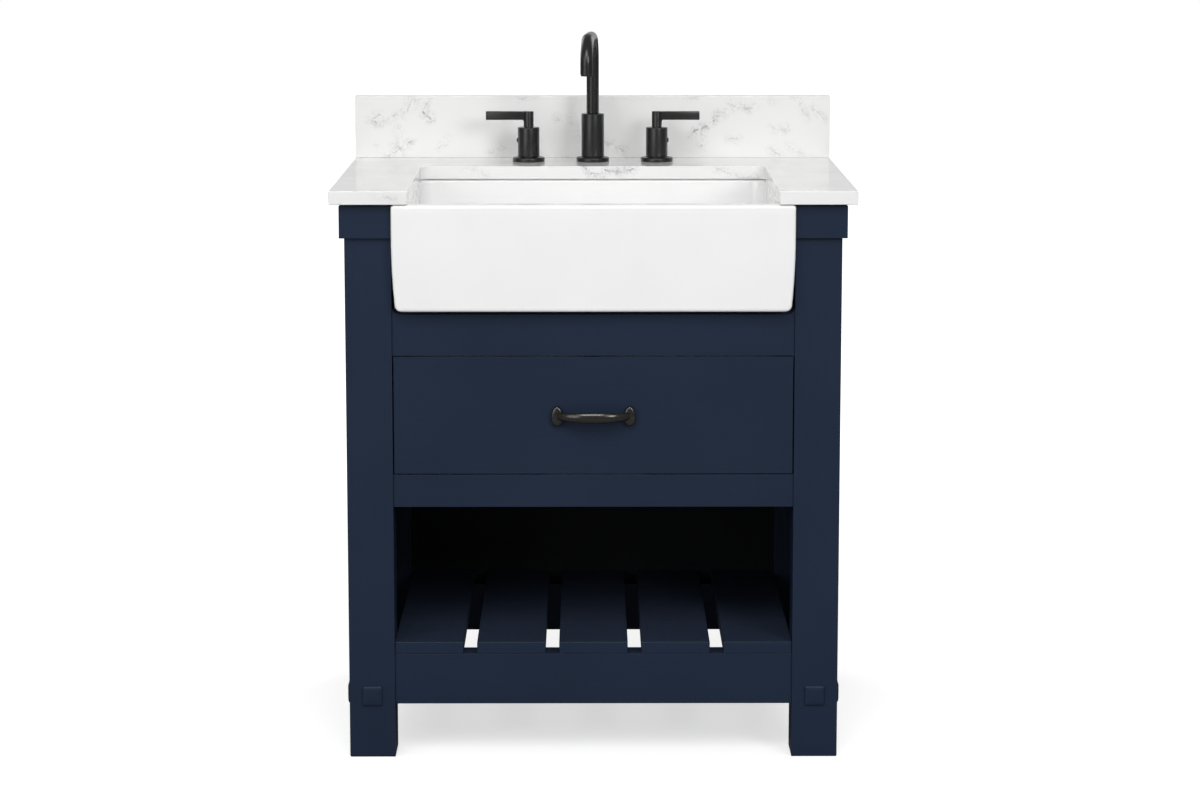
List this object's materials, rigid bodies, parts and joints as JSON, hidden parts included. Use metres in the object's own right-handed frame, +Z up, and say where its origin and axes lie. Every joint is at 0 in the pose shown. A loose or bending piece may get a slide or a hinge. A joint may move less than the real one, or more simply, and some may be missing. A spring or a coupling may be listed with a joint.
{
  "type": "bathroom vanity cabinet",
  "caption": "Free-standing single vanity: painted cabinet with a drawer and an open slatted shelf, stone top, apron-front sink and widespread faucet.",
  "frame": {"origin": "on the floor, at the middle of the whole object's width and depth", "axes": "+X to the right as the user faces the vanity, +Y towards the wall, +Z up"},
  "size_m": [0.762, 0.564, 1.0509],
  "materials": {
    "navy_paint": "satin dark blue paint on wood",
    "dark_panel": "matte dark blue paint on plywood",
    "plywood": "clear-coated birch plywood",
    "quartz": "polished white stone with faint grey veins",
    "sink_glaze": "glossy white glaze",
    "chrome": "polished",
    "zinc_plate": "zinc plated",
    "faucet_black": "matte black coating on brass",
    "valve_brass": "machined",
    "index_red": "gloss",
    "index_blue": "gloss",
    "pull_bronze": "dark bronze coating on cast zinc"
  },
  "bodies": {
    "cabinet": {"leg_front_left": "navy_paint", "leg_front_right": "navy_paint", "leg_rear_left": "navy_paint", "leg_rear_right": "navy_paint", "cap_front_left": "navy_paint", "cap_front_right": "navy_paint", "cap_rear_left": "navy_paint", "cap_rear_right": "navy_paint", "pegs": "navy_paint", "rail_under_sink": "navy_paint", "rail_under_drawer": "navy_paint", "rail_lower_front": "navy_paint", "rail_lower_rear": "navy_paint", "rail_lower_left": "navy_paint", "rail_lower_right": "navy_paint", "rail_upper_left": "navy_paint", "rail_upper_right": "navy_paint", "rail_upper_rear": "navy_paint", "side_panel_left": "navy_paint", "side_panel_right": "navy_paint", "back_panel": "dark_panel", "bay_ceiling": "dark_panel", "shelf_slat_1": "navy_paint", "shelf_slat_2": "navy_paint", "shelf_slat_3": "navy_paint", "shelf_slat_4": "navy_paint", "shelf_slat_5": "navy_paint", "sink_cleats": "plywood", "runner_blocks": "plywood", "countertop": "quartz", "backsplash": "quartz", "sink": "sink_glaze", "drain_flange": "chrome", "drain_nut": "zinc_plate", "drain_tailpiece": "chrome", "spout_base": "faucet_black", "hot_escutcheon": "faucet_black", "cold_escutcheon": "faucet_black", "hot_valve": "valve_brass", "cold_valve": "valve_brass", "faucet_nuts": "zinc_plate", "runner_cabinet_members": "zinc_plate"},
    "drawer": {"drawer_front": "navy_paint", "drawer_box_front": "plywood", "drawer_side_left": "plywood", "drawer_side_right": "plywood", "drawer_back": "plywood", "drawer_notch": "plywood", "drawer_bottom": "plywood", "drawer_pull": "pull_bronze", "pull_screws": "zinc_plate", "runner_drawer_members": "zinc_plate"},
    "runner_middles": {"runner_middle_members": "zinc_plate"},
    "hot_lever": {"hot_handle": "faucet_black", "hot_index": "index_red"},
    "cold_lever": {"cold_handle": "faucet_black", "cold_index": "index_blue"},
    "spout": {"spout_tube": "faucet_black", "spout_aerator": "faucet_black"},
    "stopper": {"drain_stopper": "chrome"}
  },
  "joints": [
    {"name": "drawer_slide", "type": "slide", "parent": "cabinet", "child": "drawer", "axis": [0, -1, 0], "range_m": [0, 0.4]},
    {"name": "runner_slide", "type": "slide", "parent": "cabinet", "child": "runner_middles", "axis": [0, -1, 0], "range_m": [0, 0.2]},
    {"name": "hot_turn", "type": "hinge", "parent": "cabinet", "child": "hot_lever", "pos_m": [-0.1016, 0.197, 0.9], "axis": [0, 0, 1], "range_deg": [0, 90]},
    {"name": "cold_turn", "type": "hinge", "parent": "cabinet", "child": "cold_lever", "pos_m": [0.1016, 0.197, 0.9], "axis": [0, 0, 1], "range_deg": [-90, 0]},
    {"name": "spout_swivel", "type": "hinge", "parent": "cabinet", "child": "spout", "pos_m": [0, 0.197, 0.95], "axis": [0, 0, 1], "range_deg": [-55, 65]},
    {"name": "stopper_lift", "type": "slide", "parent": "cabinet", "child": "stopper", "axis": [0, 0, 1], "range_m": [0, 0.01]}
  ],
  "couplings": [
    {"joint": "runner_slide", "follows": "drawer_slide", "ratio": 0.5}
  ]
}
